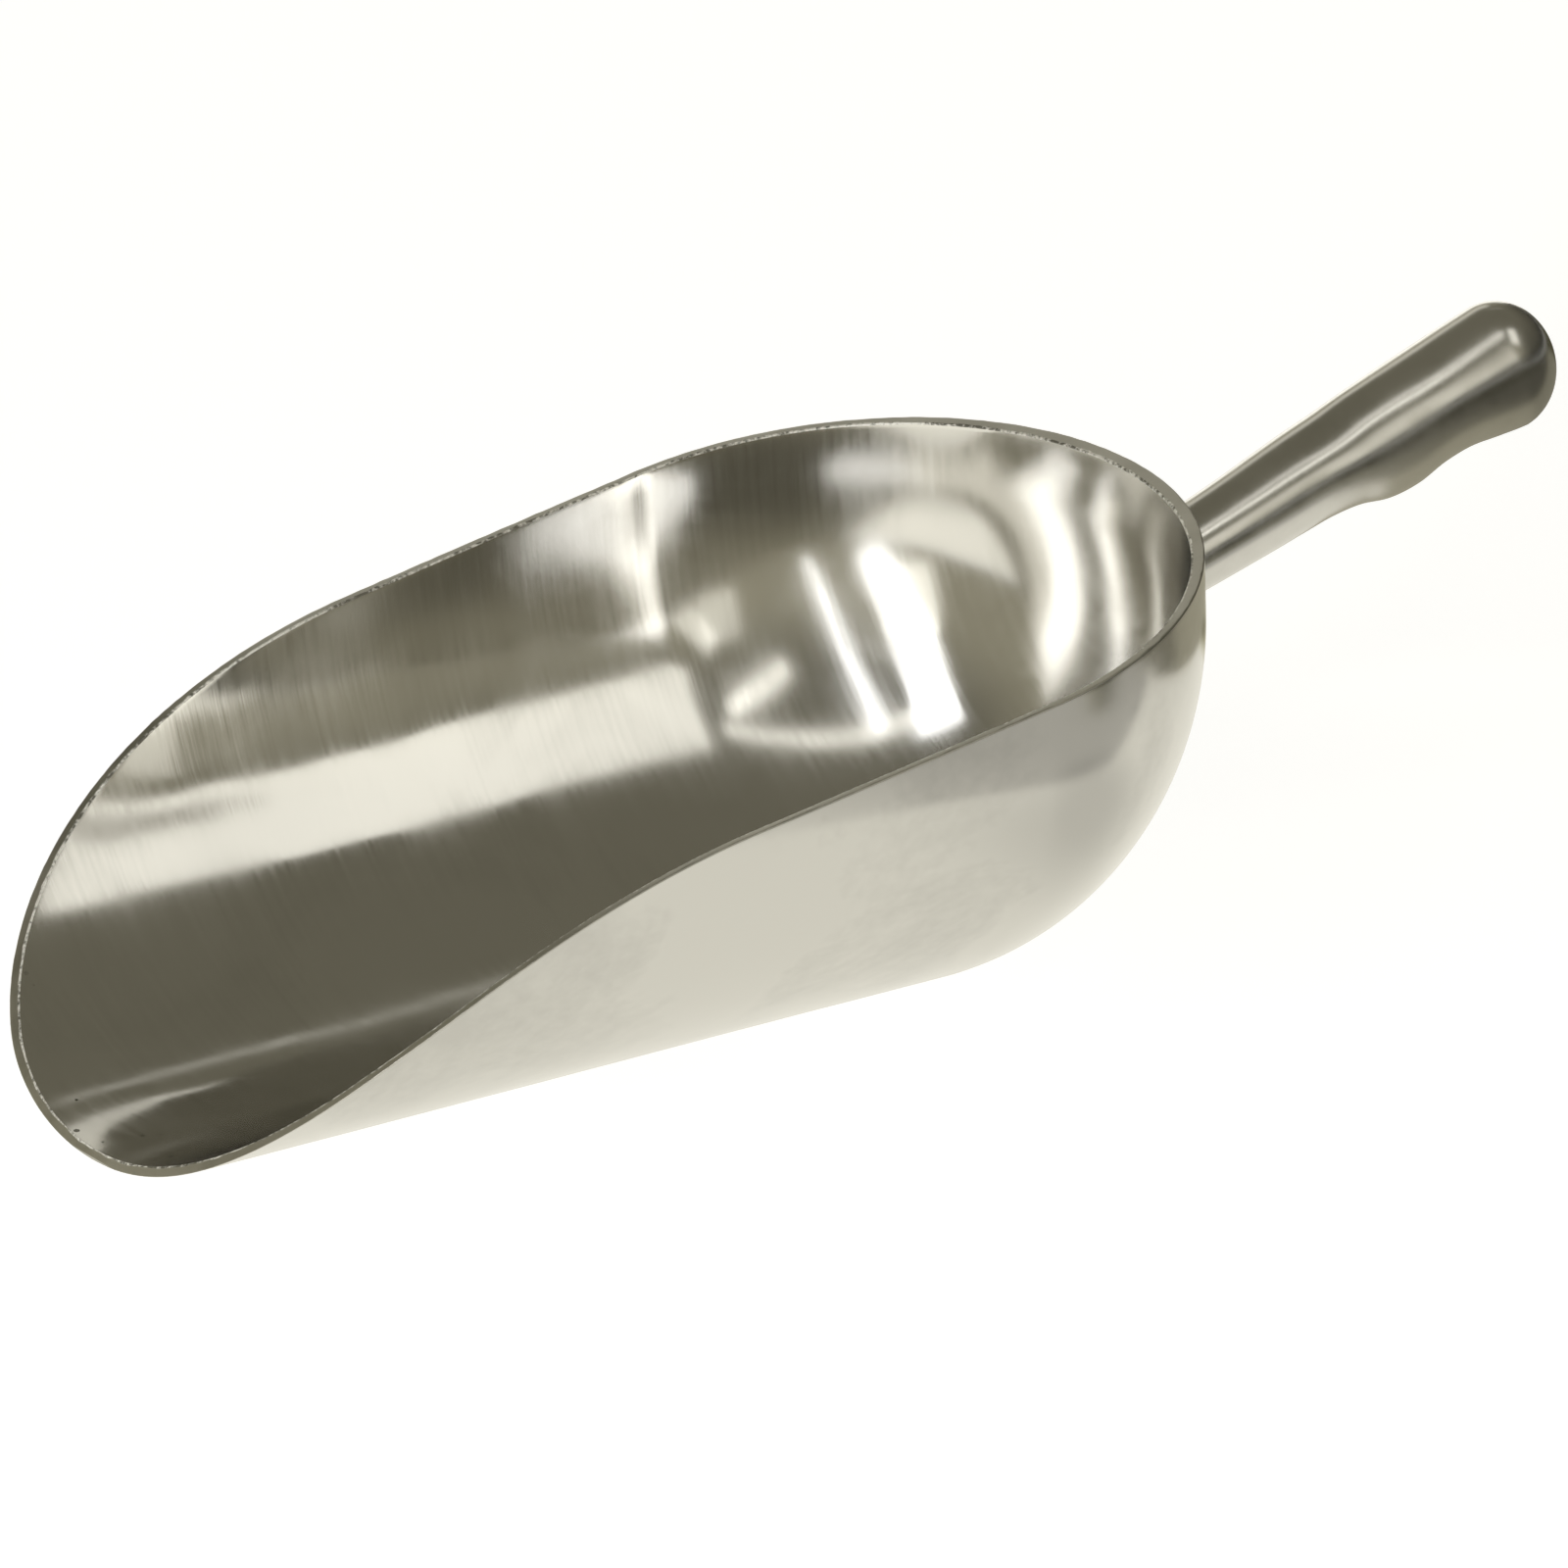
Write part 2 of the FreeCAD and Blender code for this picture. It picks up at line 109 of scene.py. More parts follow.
class Wall:
    """One face of the bowl's wall, outside or inside, as a sheet from bottom line to rim.

    side and back are how far the face lies in from the outside, at the sides and the rear.
    """

    def __init__(self, side, back):
        self.half = HALF - side
        self.deep = DEPTH - side
        self.reach = REAR - back
        self.first = nose_x(side) if side else 0.0
        self.uneven = (0.2 if side else 0.08) * MM      # height of the hand-worked waves
        self.rolled = (0.45 if side else 0.0) * MM      # worn away next to the rim

    def point(self, station, turn):
        """A point of the face, turn radians round the section from the bottom line.

        Station is (x, plan angle): plan angle is +-90 degrees along the trough.
        """
        x, angle = station
        if turn <= math.pi / 2:
            z = DEPTH - self.deep * math.cos(turn)
            spread = math.sin(turn)
        else:
            z = DEPTH + (turn - math.pi / 2) * self.deep
            spread = 1.0
        point = Vector((TIP + x + self.reach * math.cos(angle) * spread,
                        self.half * math.sin(angle) * spread, z))
        if z < 3 * self.uneven:
            return point
        inward = Vector((TIP + min(x, START) - point.x, -point.y, max(0.0, DEPTH - z)))
        worn = self.rolled * math.exp(-below_rim(point) / (6 * MM))
        return point + inward.normalized() * (hand_worked(point, self.uneven) - worn)

    def rim_turn(self, station):
        """The turn at which the wall meets the rim."""
        x, angle = station
        z = rim_z(x + self.reach * math.cos(angle)) if is_rear(angle) else rim_z(x)
        if z >= DEPTH:
            return math.pi / 2 + (z - DEPTH) / self.deep
        return math.acos(max(-1, min(1, (DEPTH - z) / self.deep)))


def is_rear(angle):
    """Whether a station's plan angle belongs to the rear end."""
    return abs(abs(angle) - math.pi / 2) > 1e-6


def stations(first):
    """Stations round the rim: up one side, round the rear end, and back along the other."""
    out = []
    for i in range(TROUGH_STEPS + 1):
        t = i / TROUGH_STEPS
        s = t * t * (1.6 - 0.6 * t)     # closer together near the tip
        out.append((first + (START - first) * s, -math.pi / 2))
    for i in range(1, REAR_STEPS):
        out.append((START, -math.pi / 2 + math.pi * i / REAR_STEPS))
    for station in reversed(out[:TROUGH_STEPS + 1]):
        out.append((station[0], math.pi / 2))
    return out


def without_repeats(loop):
    """A face's corners with repeated ones left out."""
    return [v for k, v in enumerate(loop) if v not in loop[:k]]


def curve(start, corner, end, t):
    """A point of the rounded edge from start to end, bent towards corner."""
    return (1 - t) ** 2 * start + 2 * t * (1 - t) * corner + t * t * end


def wall_grid(wall, rows):
    """A face's points, column by column, and its sharp rim line.

    A column's last point lies EDGE below the rim, or less where the wall is low.
    """
    grid = []
    rim = []
    for station in stations(wall.first):
        top = wall.rim_turn(station)
        rim.append(wall.point(station, top))
        back_off = min(EDGE / wall.deep, top * 0.45)
        last = top - back_off
        near = max(last - 2 * back_off, last * 0.6)
        turns = [near * (j / (rows - 2)) for j in range(rows - 1)] + [last]
        grid.append([wall.point(station, turn) for turn in turns])
    return grid, rim


def bowl_mesh():
    """Both wall faces and the ground rim with lightly broken edges.

    The kinds are each face's material: 0 outside, 1 inside, 2 ground rim and 3 burred inner edge
    with painted glints.
    """
    rows = 72
    grids = {}
    tops = {}
    for name, wall in (("outer", Wall(0.0, 0.0)), ("inner", Wall(SIDE, BACK))):
        grids[name], tops[name] = wall_grid(wall, rows)
    count = len(tops["outer"])
    verts = []
    faces = []
    kinds = []

    def add(point):
        verts.append(point)
        return len(verts) - 1

    def add_face(loop, kind):
        loop = without_repeats(loop)
        if len(loop) > 2:
            faces.append(tuple(loop))
            kinds.append(kind)

    index = {}
    for kind, name in enumerate(("outer", "inner")):
        grid = grids[name]
        ids = [[None] * rows for _ in range(count)]
        pole = add(grid[TROUGH_STEPS + 1][0])
        for i in range(count):
            for j in range(rows):
                if j == 0 and TROUGH_STEPS <= i <= count - 1 - TROUGH_STEPS:
                    ids[i][j] = pole
                elif j == 0 and i > TROUGH_STEPS:
                    ids[i][j] = ids[count - 1 - i][0]
                else:
                    ids[i][j] = add(grid[i][j])
        index[name] = ids
        for i in range(count - 1):
            for j in range(rows - 1):
                quad = [ids[i][j], ids[i + 1][j], ids[i + 1][j + 1], ids[i][j + 1]]
                add_face(quad if name == "outer" else quad[::-1], kind)

    # The rim: a rounded edge, the flat ground face and the other rounded edge.
    strips = []
    for i in range(count):
        low_out = grids["outer"][i][-1]
        low_in = grids["inner"][i][-1]
        top_out = tops["outer"][i]
        top_in = tops["inner"][i]
        across = (top_in - top_out)
        ragged = 1 + 0.9 * noise.noise(top_in * 330.0) + 0.5 * noise.noise(top_in * 900.0)
        radius = min(ROUNDED, across.length * 0.3) * max(0.35, ragged)
        across.normalize()
        flat_out = top_out + across * radius
        flat_in = top_in - across * radius
        row = [index["outer"][i][-1]]
        row += [add(curve(low_out, top_out, flat_out, t)) for t in (0.25, 0.5, 0.75, 1.0)]
        row.append(add(flat_out.lerp(flat_in, 0.5)))
        row += [add(curve(flat_in, top_in, low_in, t)) for t in (0.0, 0.25, 0.5, 0.75)]
        row.append(index["inner"][i][-1])
        strips.append(row)
    across_rim = len(strips[0]) - 1
    for i in range(count - 1):
        for k in range(across_rim):
            quad = [strips[i][k], strips[i + 1][k], strips[i + 1][k + 1], strips[i][k + 1]]
            add_face(quad, 3 if k >= across_rim - 4 else 2)

    # The two ends meet at the tip: close the lip between the first and last stations.
    loops = []
    for i in (0, count - 1):
        loop = [index["outer"][i][j] for j in range(rows)] + strips[i][1:-1]
        loops.append(loop + [index["inner"][i][j] for j in reversed(range(rows))])
    one, other = loops
    for k in range(len(one) - 1):
        add_face([other[k], one[k], one[k + 1], other[k + 1]], 2)
    return verts, faces, kinds


def make_object(name, verts, faces, materials, kinds=None):
    """A smooth piece of the scoop, riding on its one body."""
    mesh = bpy.data.meshes.new(name)
    mesh.from_pydata([tuple(v) for v in verts], [], faces)
    mesh.validate()
    mesh.update()
    piece = bpy.data.objects.new(name, mesh)
    bpy.context.scene.collection.objects.link(piece)
    for material in materials:
        mesh.materials.append(material)
    for polygon in mesh.polygons:
        polygon.use_smooth = True
        polygon.material_index = kinds[polygon.index] if kinds else 0
    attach(piece, "root")
    return piece


# The grip: (distance along the axis, half width, half height, drop of the centre), in mm. It
# thickens from the neck, with two finger ridges on its underside and a groove between them.
GRIP = (
    (17.6, 9.8, 9.95, 0.1),
    (25.2, 10.0, 10.2, 0.2),
    (32.8, 10.3, 10.5, 0.2),
    (40.4, 10.6, 10.8, 0.1),
    (48.0, 11.0, 11.1, 0.1),
    (55.6, 11.3, 11.9, 0.7),
    (63.2, 11.5, 13.65, 1.9),
    (70.8, 11.7, 14.15, 2.2),
    (78.4, 11.9, 13.65, 1.65),
    (86.0, 12.0, 13.8, 1.7),
    (93.6, 12.1, 14.8, 2.5),
    (101.2, 12.1, 15.7, 3.3),
)
TILT = math.radians(18.9)        # rise of the handle's axis
ROOT = Vector((TIP + LENGTH, 0, 73.3 * MM))      # where the axis meets the rear wall
NECK = (10.0, 9.6, 9.65, 0.0)    # the thinnest section, as a row of GRIP
DOME = 13.6                      # length of the rounded end, mm
BOSS = 14.5                      # radius of the boss on the rear wall, mm
FLARE = 14.0                     # radius of the hollow curve between boss and neck, mm
BURIED = -14                     # first ring, inside the wall, mm
FINE, COARSE = 0.6, 0.95         # ring spacing up to the neck and along the grip, mm
DOME_RINGS = 26
AROUND = 96                      # points round a ring
SLIDES = 12                      # steps that bring a point onto the wall's curved face


def spline(rows, s):
    """Smooth value of each column of rows at s (Catmull-Rom with even steps)."""
    step = rows[1][0] - rows[0][0]
    at = (s - rows[0][0]) / step
    i = max(0, min(len(rows) - 2, int(math.floor(at))))
    t = at - i
    out = []
    for c in range(1, 4):
        p1, p2 = rows[i][c], rows[i + 1][c]
        p0 = rows[i - 1][c] if i > 0 else 2 * p1 - p2
        p3 = rows[i + 2][c] if i + 2 < len(rows) else p2 + 0.35 * (p2 - p1)
        a = 2 * p1
        b = p2 - p0
        d = 2 * p0 - 5 * p1 + 4 * p2 - p3
        e = -p0 + 3 * p1 - 3 * p2 + p3
        out.append(0.5 * (a + b * t + d * t * t + e * t ** 3))
    return out


def grip_section(s):
    """(half width, half height, drop) of the handle at s mm from the rear wall."""
    if s < NECK[0]:
        reach = NECK[0] - s
        limit = math.sqrt(FLARE ** 2 - (NECK[1] + FLARE - BOSS) ** 2)
        grow = BOSS - NECK[1] if reach >= limit else FLARE - math.sqrt(FLARE ** 2 - reach ** 2)
        return NECK[1] + grow, NECK[2] + grow, 0.0
    rows = (NECK,) + GRIP
    if s <= rows[-1][0]:
        return spline(rows, s)
    t = min(1.0, (s - rows[-1][0]) / DOME)
    shrink = math.sqrt(max(0.0, 1 - t * t))
    return rows[-1][1] * shrink, rows[-1][2] * shrink, rows[-1][3]


def on_handle(s, across, up):
    """A point given along the handle's axis, across it and up from it, in mm."""
    along = Vector((math.cos(TILT), 0, math.sin(TILT)))
    normal = Vector((-math.sin(TILT), 0, math.cos(TILT)))
    return ROOT + along * (s * MM) + Vector((0, across * MM, 0)) + normal * (up * MM)


def outside_wall_x(y, z):
    """X of the bowl's rear wall, outside, at that y and z."""
    lift = max(0.0, (DEPTH - z) / DEPTH)
    return TIP + START + REAR * math.sqrt(max(0.0, 1 - (y / HALF) ** 2 - lift ** 2))


def ring_places():
    """Distances of the handle's rings along its axis, in mm."""
    end = GRIP[-1][0]
    out = [BURIED + i * FINE for i in range(round((NECK[0] - BURIED) / FINE))]
    out += [NECK[0] + i * COARSE for i in range(round((end - NECK[0]) / COARSE))]
    return out + [end + DOME * math.sin(math.pi / 2 * i / DOME_RINGS) for i in range(DOME_RINGS)]


def handle_mesh():
    """The boss, its flare, the grip and the rounded end as one smooth skin."""
    verts = []
    faces = []
    places = ring_places()
    for s in places:
        wide, tall, drop = grip_section(s)
        for k in range(AROUND):
            angle = 2 * math.pi * k / AROUND
            verts.append(on_handle(s, wide * math.sin(angle), tall * math.cos(angle) - drop))
    for i in range(len(places) - 1):
        for k in range(AROUND):
            n = (k + 1) % AROUND
            faces.append((i * AROUND + k, i * AROUND + n, (i + 1) * AROUND + n,
                          (i + 1) * AROUND + k))
    base = (len(places) - 1) * AROUND
    verts.append(on_handle(GRIP[-1][0] + DOME, 0, -GRIP[-1][3]))
    for k in range(AROUND):
        faces.append((base + k, base + (k + 1) % AROUND, len(verts) - 1))
    # Trim the boss at the wall: points inside the wall are slid along the axis to its face.
    along = Vector((math.cos(TILT), 0, math.sin(TILT)))
    near_wall = NECK[0] + 2
    for i, s in enumerate(places):
        for k in range(AROUND):
            point = verts[i * AROUND + k]
            gap = outside_wall_x(point.y, point.z) - point.x
            if gap > 0 and s < near_wall:
                for _ in range(SLIDES):
                    point = point + along * (gap / along.x)
                    gap = outside_wall_x(point.y, point.z) - point.x
                verts[i * AROUND + k] = point
    return verts, faces


class Nodes:
    """A small helper for building a material's node tree."""

    def __init__(self, name):
        self.material = bpy.data.materials.new(name)
        self.material.use_nodes = True
        self.tree = self.material.node_tree
        self.shader = self.tree.nodes["Principled BSDF"]

    def add(self, kind, **inputs):
        """A new node with some of its inputs set or linked."""
        node = self.tree.nodes.new(kind)
        for key, item in inputs.items():
            socket = node.inputs[key.replace("_", " ")]
            if isinstance(item, bpy.types.NodeSocket):
                self.tree.links.new(item, socket)
            else:
                socket.default_value = item
        return node

    def link(self, source, target):
        self.tree.links.new(source, target)

    def position(self, scale=(1, 1, 1)):
        """Object coordinates in metres, times a scale along each axis."""
        coords = self.tree.nodes.new("ShaderNodeTexCoord")
        mapping = self.tree.nodes.new("ShaderNodeMapping")
        mapping.inputs["Scale"].default_value = scale
        self.link(coords.outputs["Object"], mapping.inputs["Vector"])
        return mapping.outputs["Vector"]

    def noise(self, vector, scale, detail, rough, distort=0.0):
        node = self.add("ShaderNodeTexNoise", Vector=vector, Scale=scale, Detail=detail,
                        Roughness=rough, Distortion=distort)
        return node.outputs["Fac"]

    def ramp(self, value, stops):
        """Map a value through (position, value) stops."""
        node = self.tree.nodes.new("ShaderNodeValToRGB")
        elements = node.color_ramp.elements
        while len(elements) < len(stops):
            elements.new(0.5)
        for element, (place, level) in zip(elements, stops):
            element.position = place
            element.color = (*level, 1) if isinstance(level, tuple) else (level, level, level, 1)
        self.link(value, node.inputs["Fac"])
        return node.outputs["Color"]

    def split(self):
        """The X, Y and Z of the object coordinates."""
        return self.add("ShaderNodeSeparateXYZ", Vector=self.position()).outputs

    def math(self, kind, a, b=0.0):
        """One operation on one or two numbers or sockets."""
        node = self.tree.nodes.new("ShaderNodeMath")
        node.operation = kind
        for socket, item in zip(node.inputs, (a, b)):
            if isinstance(item, bpy.types.NodeSocket):
                self.link(item, socket)
            else:
                socket.default_value = item
        return node.outputs[0]

    def blend(self, parts):
        """The sum of (value, share) pairs."""
        total = None
        for value, share in parts:
            part = self.math("MULTIPLY", value, share)
            total = part if total is None else self.math("ADD", total, part)
        return total

    def step(self, value, start, end):
        """A smooth step from 0 at start to 1 at end."""
        node = self.add("ShaderNodeMapRange", Value=value)
        node.interpolation_type = "SMOOTHSTEP"
        node.inputs["From Min"].default_value = start
        node.inputs["From Max"].default_value = end
        return node.outputs["Result"]

    def bump(self, height, distance):
        """The normal over a height map that is distance metres high."""
        node = self.add("ShaderNodeBump", Height=height, Strength=1.0, Distance=distance)
        return node.outputs["Normal"]

    def glow(self, colour, strength):
        """Make the material plain emission."""
        node = self.add("ShaderNodeEmission", Color=colour, Strength=strength)
        self.link(node.outputs["Emission"], self.tree.nodes["Material Output"].inputs["Surface"])


METAL = (0.63, 0.622, 0.598)     # polished or buffed aluminium
DULL = (0.47, 0.46, 0.42)        # ground aluminium
PORE_DARK = (0.08, 0.075, 0.055, 1)   # the bottom of a pore


def pores(kit, colour):
    """A few dark casting pores next to the lip, over a colour."""
    cells = kit.add("ShaderNodeTexVoronoi", Vector=kit.position(), Scale=260.0)
    chance = kit.add("ShaderNodeSeparateColor", Color=cells.outputs["Color"]).outputs
    size = kit.math("MULTIPLY", chance["Red"], 0.21)
    dots = kit.math("LESS_THAN", cells.outputs["Distance"], size)
    some = kit.math("MULTIPLY", dots, kit.math("GREATER_THAN", chance["Green"], 0.3))
    near_lip = kit.step(kit.split()["X"], TIP + 22 * MM, TIP + 8 * MM)
    mix = kit.add("ShaderNodeMix")
    mix.data_type = "RGBA"
    kit.link(kit.math("MULTIPLY", kit.math("MULTIPLY", some, near_lip), 0.9), mix.inputs[0])
    kit.link(colour, mix.inputs[6])
    # The pores are dark dots in the colour; the surface has no hole there.
    mix.inputs[7].default_value = PORE_DARK
    return mix.outputs[2]


def aluminium(name, rough, cloud_size, smudge, hairline, lay, metal=METAL, inner=False):
    """Bare cast aluminium: cloudy hand polish with fine scratches.

    rough is the (least, most) roughness, cloud_size the clouds per metre, smudge how much they
    darken the metal, hairline the scratches' height in metres, and lay their frequency along
    X, Y and Z. inner adds a duller rear hollow and the pores.
    """
    kit = Nodes(name)
    kit.shader.inputs["Metallic"].default_value = 1.0
    cloud = kit.noise(kit.position(), cloud_size, 4.0, 0.55, 0.8)
    hair = kit.noise(kit.position(lay), 1.0, 2.0, 0.6)
    faint = kit.noise(kit.position(), cloud_size * 0.45 + 9, 2.0, 0.5)
    level = kit.blend(((cloud, 0.75), (hair, 0.25)))
    matt = kit.ramp(level, ((0.32, rough[0]), (0.66, rough[1])))
    worn = tuple(channel * (1 - smudge) for channel in metal)
    tone = kit.blend(((cloud, 0.45), (faint, 0.4), (hair, 0.15)))
    colour = kit.ramp(tone, ((0.36, worn), (0.54, metal)))
    if inner:
        hollow = kit.step(kit.split()["X"], TIP + START - 20 * MM, TIP + START + 30 * MM)
        matt = kit.math("ADD", matt, kit.math("MULTIPLY", hollow, 0.03))
        colour = pores(kit, colour)
    kit.link(matt, kit.shader.inputs["Roughness"])
    kit.link(colour, kit.shader.inputs["Base Color"])
    kit.link(kit.bump(hair, hairline), kit.shader.inputs["Normal"])
    return kit.material


def burr_with_painted_glints():
    """The ragged inner edge left by grinding the rim, with painted glints: bright specks between
    dull ones.
    """
    kit = Nodes("burr_with_painted_glints")
    kit.shader.inputs["Metallic"].default_value = 0.35
    kit.shader.inputs["Roughness"].default_value = 0.4
    specks = kit.noise(kit.position(), 900.0, 2.0, 0.6)
    runs = kit.noise(kit.position(), 38.0, 2.0, 0.5)
    level = kit.blend(((specks, 0.6), (runs, 0.4)))
    # The bright specks are painted glints.
    dull, bright = (0.16, 0.155, 0.13), (0.9, 0.89, 0.85)
    kit.link(kit.ramp(level, ((0.42, dull), (0.56, bright))), kit.shader.inputs["Base Color"])
    return kit.material


inside = aluminium("polished_inside", (0.06, 0.19), 22.0, 0.09, 7e-6, (800, 30, 30), inner=True)
outside = aluminium("buffed_outside", (0.11, 0.21), 24.0, 0.14, 8e-7, (240, 260, 260))
ground = aluminium("ground_rim", (0.28, 0.42), 60.0, 0.2, 2e-5, (500, 500, 200), DULL)
satin = aluminium("satin_handle", (0.19, 0.27), 30.0, 0.1, 3e-7, (300, 300, 300))
# The burred inner edge of the rim, with painted glints.
burr_and_painted_glints = burr_with_painted_glints()

verts, faces, kinds = bowl_mesh()
bowl = make_object("scoop_bowl", verts, faces, (outside, inside, ground, burr_and_painted_glints),
                   kinds)
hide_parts("bowl")
weighted = bowl.modifiers.new("even_normals", "WEIGHTED_NORMAL")
weighted.keep_sharp = True
verts, faces = handle_mesh()
grip = make_object("scoop_handle", verts, faces, (satin,))
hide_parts("handle", "handle_root")


def sheet(name, corners):
    """A flat piece of the set."""
    mesh = bpy.data.meshes.new(name)
    mesh.from_pydata(corners, [], [tuple(range(len(corners)))])
    piece = bpy.data.objects.new(name, mesh)
    bpy.context.scene.collection.objects.link(piece)
    return piece


def floor():
    """A pale table, glowing evenly like a light table."""
    piece = sheet("floor", [(-30, -30, 0), (30, -30, 0), (30, 30, 0), (-30, 30, 0)])
    kit = Nodes("pale_floor")
    kit.shader.inputs["Base Color"].default_value = (0.45, 0.45, 0.44, 1)
    kit.shader.inputs["Roughness"].default_value = 0.8
    kit.shader.inputs["Specular IOR Level"].default_value = 0.1
    kit.shader.inputs["Emission Color"].default_value = (1, 1, 0.995, 1)
    kit.shader.inputs["Emission Strength"].default_value = 0.83
    piece.data.materials.append(kit.material)


CENTRE = Vector((0, 0, 50 * MM))         # where the set's directions start, inside the bowl
WARM = (1.0, 0.983, 0.915)
WHITE = (0.985, 0.99, 1.0)


def spot(azimuth, elevation, distance):
    """A point of the set seen from the bowl: azimuth 0 is +Y and 90 is +X."""
    a, e = math.radians(azimuth), math.radians(elevation)
    ray = Vector((math.sin(a) * math.cos(e), math.cos(a) * math.cos(e), math.sin(e)))
    return CENTRE + ray * distance


def strip(name, one, other, width, radiance, colour=WARM):
    """A long soft light facing the bowl, between two points (azimuth, elevation, distance)."""
    ends = [spot(*one), spot(*other)]
    along = ends[1] - ends[0]
    place = (ends[0] + ends[1]) / 2
    length = along.length
    along.normalize()
    out = place - CENTRE
    out = (out - along * out.dot(along)).normalized()
    across = along.cross(out)
    data = bpy.data.lights.new(name, "AREA")
    data.shape = "RECTANGLE"
    data.size, data.size_y = width, length
    data.energy = radiance * math.pi * width * length
    data.color = colour
    lamp = bpy.data.objects.new(name, data)
    lamp.matrix_world = Matrix((
        (across.x, along.x, out.x, place.x),
        (across.y, along.y, out.y, place.y),
        (across.z, along.z, out.z, place.z),
        (0, 0, 0, 1)))
    bpy.context.scene.collection.objects.link(lamp)


def card(name, one, other, width, level):
    """A grey card with cut corners, near the scoop, between two points like a strip's."""
    a, b = spot(*one), spot(*other)
    middle = (a + b) / 2
    along = (b - a) / 2
    across = along.cross(CENTRE - middle).normalized() * width / 2
    outline = ((-1, -0.6), (0, -1), (1, -0.8), (1, 0.5), (0.1, 1), (-1, 0.7))
    piece = sheet(name, [tuple(middle + along * i + across * j) for i, j in outline])
    kit = Nodes(name)
    kit.glow((1.0, 0.95, 0.8, 1), level)
    piece.data.materials.append(kit.material)
    only_reflected(piece)


def only_reflected(piece):
    """Let only reflections see a piece of the set."""
    piece.visible_camera = False
    piece.visible_diffuse = False
    piece.visible_shadow = False
    piece.visible_transmission = False


def room():
    """The studio round the object: pale low down, dark past the handle's end, dim overhead.

    x and z belong to the direction looked in. The first three numbers are brightness.
    """
    low_left, low_right, overhead = 0.40, 0.10, 0.175
    world = bpy.data.worlds.new("studio")
    bpy.context.scene.world = world
    world.use_nodes = True
    tree = world.node_tree

    def ramp(socket, start, end, first, last):
        """A smooth change from first, where the socket is start, to last at end."""
        node = tree.nodes.new("ShaderNodeMapRange")
        node.interpolation_type = "SMOOTHSTEP"
        for name, item in (("From Min", start), ("From Max", end), ("To Min", first),
                           ("To Max", last)):
            node.inputs[name].default_value = item
        tree.links.new(socket, node.inputs["Value"])
        return node.outputs["Result"]

    def join(kind, a, b):
        node = tree.nodes.new("ShaderNodeMath")
        node.operation = kind
        tree.links.new(a, node.inputs[0])
        tree.links.new(b, node.inputs[1])
        return node.outputs[0]

    coords = tree.nodes.new("ShaderNodeTexCoord")
    split = tree.nodes.new("ShaderNodeSeparateXYZ")
    tree.links.new(coords.outputs["Generated"], split.inputs[0])
    x, z = split.outputs["X"], split.outputs["Z"]
    mix = tree.nodes.new("ShaderNodeMix")
    mix.inputs["B"].default_value = overhead
    tree.links.new(ramp(z, 0.25, 0.7, 0.0, 1.0), mix.inputs["Factor"])
    tree.links.new(ramp(x, 0.35, 0.8, low_left, low_right), mix.inputs["A"])
    # The horizon is a fifth as bright on the handle's side.
    away = join("MAXIMUM", ramp(x, -0.05, 0.2, 1.0, 0.0), ramp(z, 0.08, 0.22, 0.0, 1.0))
    dim = ramp(away, 0.0, 1.0, 0.2, 1.0)
    back = tree.nodes["Background"]
    back.inputs["Color"].default_value = (1.0, 0.935, 0.69, 1)
    tree.links.new(join("MULTIPLY", mix.outputs["Result"], dim), back.inputs["Strength"])


def reflected_table():
    """The table as the metal sees it: pale round the bowl, grey in front, dark to the right.

    It looks as if a grey and a black board lay beside the scoop. Only reflections see it.
    """
    pale, shadow_depth, grey_depth, left_extra = 0.96, 0.26, 0.42, 0.4
    black = 0.92                                     # how much the black board takes away
    size, lift = 4, 0.4 * MM
    piece = sheet("boards", [(-size, -size, lift), (size, -size, lift), (size, size, lift),
                             (-size, size, lift)])
    kit = Nodes("boards")
    split = kit.split()
    x, y = split["X"], split["Y"]
    # Distance past the black board's edge, which runs off to the right behind the handle and
    # steps back beside the scoop.
    front = kit.math("MULTIPLY", kit.math("MINIMUM", y, 0.0), -0.2)
    behind = kit.math("MAXIMUM", kit.math("SUBTRACT", y, 0.05), 0.0)
    edge = kit.math("ADD", kit.math("ADD", front, behind), 0.25)
    beside = kit.math("MULTIPLY", kit.step(y, -0.215, -0.185), kit.step(y, 0.10, 0.04))
    edge = kit.math("ADD", edge, kit.math("MULTIPLY", beside, 0.105))
    dark = kit.step(kit.math("SUBTRACT", x, edge), -0.13, -0.07)
    # The grey board's near edge runs off to the left.
    skew = kit.math("MULTIPLY", kit.math("MAXIMUM", kit.math("SUBTRACT", 0.12, x), 0.0), 0.5)
    grey = kit.math("MULTIPLY", kit.step(kit.math("ADD", y, skew), -0.118, -0.134),
                    kit.step(x, -0.06, 0.10))
    level = kit.math("SUBTRACT", pale, kit.math("MULTIPLY", grey, grey_depth))
    # The scoop's own soft shadow, in front of where the rear end begins.
    aside = kit.math("POWER", kit.math("SUBTRACT", x, 0.078), 2.0)
    ahead = kit.math("POWER", kit.math("ADD", y, 0.105), 2.0)
    shadow = kit.step(kit.math("SQRT", kit.math("ADD", aside, ahead)), 0.075, 0.015)
    level = kit.math("SUBTRACT", level, kit.math("MULTIPLY", shadow, shadow_depth))
    # Brighter past the lip.
    far_left = kit.step(x, -0.2, -0.32)
    level = kit.math("ADD", level, kit.math("MULTIPLY", far_left, left_extra))
    level = kit.math("MULTIPLY", level,
                     kit.math("SUBTRACT", 1.0, kit.math("MULTIPLY", dark, black)))
    tint = kit.ramp(dark, ((0.0, (1.0, 0.972, 0.862)), (1.0, (1.0, 0.92, 0.5))))
    kit.glow(tint, level)
    piece.data.materials.append(kit.material)
    only_reflected(piece)


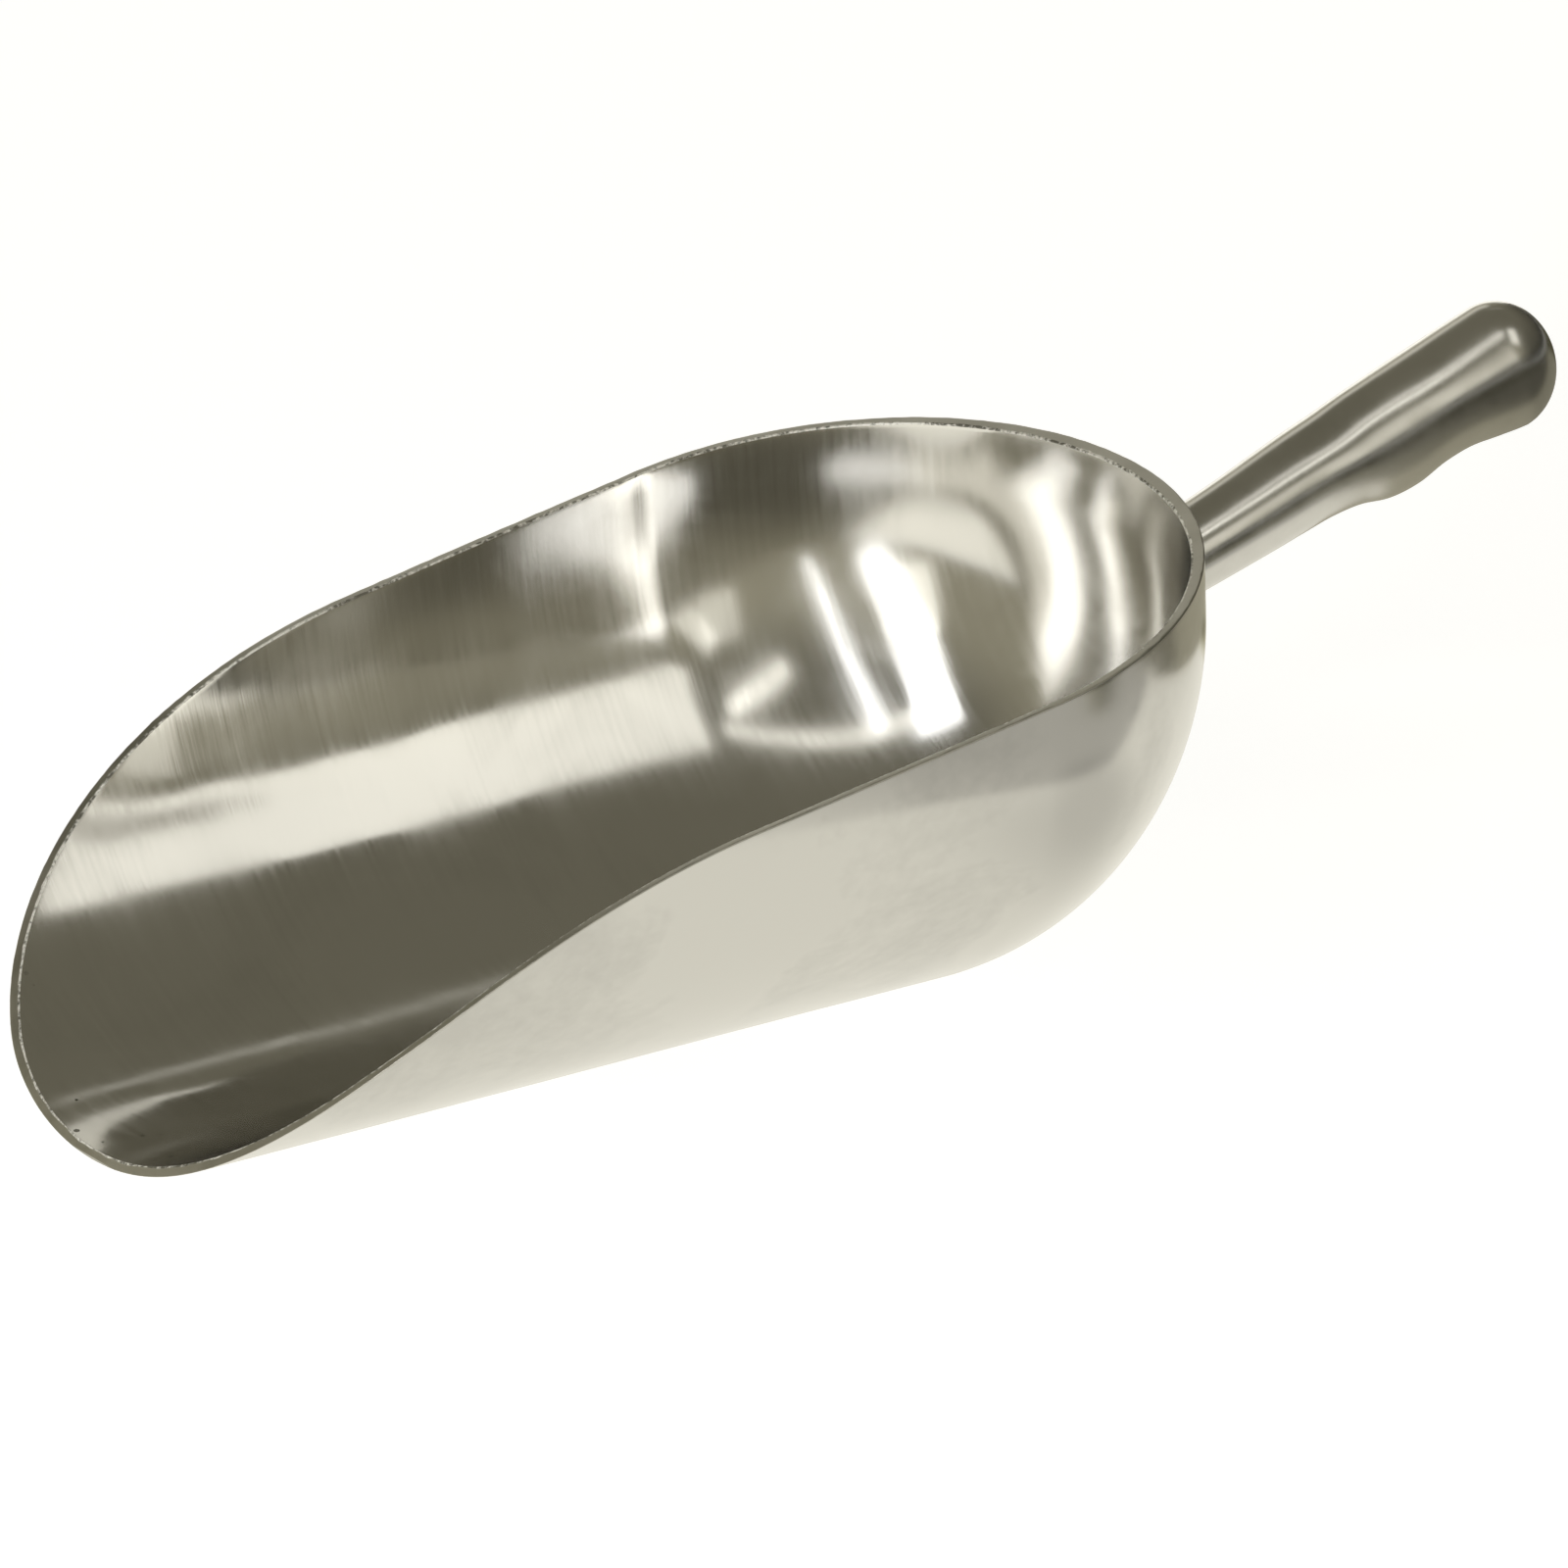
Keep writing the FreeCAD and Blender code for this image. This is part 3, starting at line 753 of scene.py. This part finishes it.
def raised_board():
    """A dark board above the table: the grip sees its top, the bowl's rear sees under it."""
    left_front, left_back, right = 200 * MM, 160 * MM, 900 * MM
    front, back, height = -250 * MM, 120 * MM, 30 * MM
    piece = sheet("raised_board", [(left_front, front, height), (right, front, height),
                                   (right, back, height), (left_back, back, height)])
    kit = Nodes("raised_board")
    split = kit.split()
    away = kit.math("MULTIPLY", kit.step(split["X"], 0.20, 0.26), 0.16)
    behind = kit.math("MULTIPLY", kit.step(split["Y"], -0.07, -0.03), 0.16)
    kit.glow((1.0, 0.94, 0.7, 1), kit.math("ADD", kit.math("SUBTRACT", 0.24, away), behind))
    piece.data.materials.append(kit.material)
    only_reflected(piece)


def turned(one, other, angle):
    """Two directions at right angles, turned so that the first moves towards the other."""
    return (one * math.cos(angle) + other * math.sin(angle),
            other * math.cos(angle) - one * math.sin(angle))


def camera():
    """A long lens, from in front of the scoop's near side and a little to the lip's side."""
    azimuth, elevation = math.radians(-31.617), math.radians(21.891)
    pan, tilt, roll = math.radians(0.110), math.radians(0.011), math.radians(-1.601)
    distance = 13.4914
    back = Vector((math.sin(azimuth) * math.cos(elevation),
                   -math.cos(azimuth) * math.cos(elevation), math.sin(elevation)))
    target = Vector((TIP + 0.55 * LENGTH, 0, 50.4 * MM))
    place = target + back * distance
    ahead = -back
    right = ahead.cross(Vector((0, 0, 1))).normalized()
    up = right.cross(ahead)
    ahead, right = turned(ahead, right, pan)
    ahead, up = turned(ahead, up, tilt)
    right, up = turned(right, up, roll)
    data = bpy.data.cameras.new("camera")
    data.lens = 1380.618
    data.sensor_width = 36
    data.clip_end = 100
    eye = bpy.data.objects.new("camera", data)
    eye.matrix_world = Matrix((
        (right.x, up.x, -ahead.x, place.x),
        (right.y, up.y, -ahead.y, place.y),
        (right.z, up.z, -ahead.z, place.z),
        (0, 0, 0, 1)))
    bpy.context.scene.collection.objects.link(eye)
    bpy.context.scene.camera = eye


floor()
room()
reflected_table()
raised_board()
# Each light: name, its two ends, its width in metres, its radiance and its colour.
strip("band", (148, 29, 4.0), (131, 50, 4.0), 0.95, 1.2)
strip("over", (152, 52, 1.7), (265, 47, 1.7), 0.16, 1.3)
strip("left_narrow", (213, 8, 2.0), (253, 56, 1.0), 0.09, 3.0, WHITE)
strip("left_wide", (235, 3, 1.8), (280, 46, 1.0), 0.27, 2.6, WHITE)
strip("left_low", (247, 6, 1.5), (253, 25, 1.5), 0.46, 1.2)
strip("front", (157, 8, 3.0), (170, 30, 3.0), 0.45, 0.85)
strip("front_bar", (163, 49, 2.5), (202, 40, 2.5), 0.22, 2.4)
strip("reflector", (163, 24, 0.40), (182, 26, 0.38), 0.11, 0.62)
strip("far", (14, 4, 1.6), (44, 4, 1.6), 0.4, 1.3)
strip("far_high", (6, 31, 2.0), (34, 31, 2.0), 0.5, 0.55)
strip("thin", (34, 49, 3.0), (53, 40, 3.0), 0.17, 0.28)
card("card", (158, 45.7, 0.31), (174, 46.8, 0.33), 0.036, 0.42)
bpy.context.scene.view_settings.view_transform = "Standard"
camera()
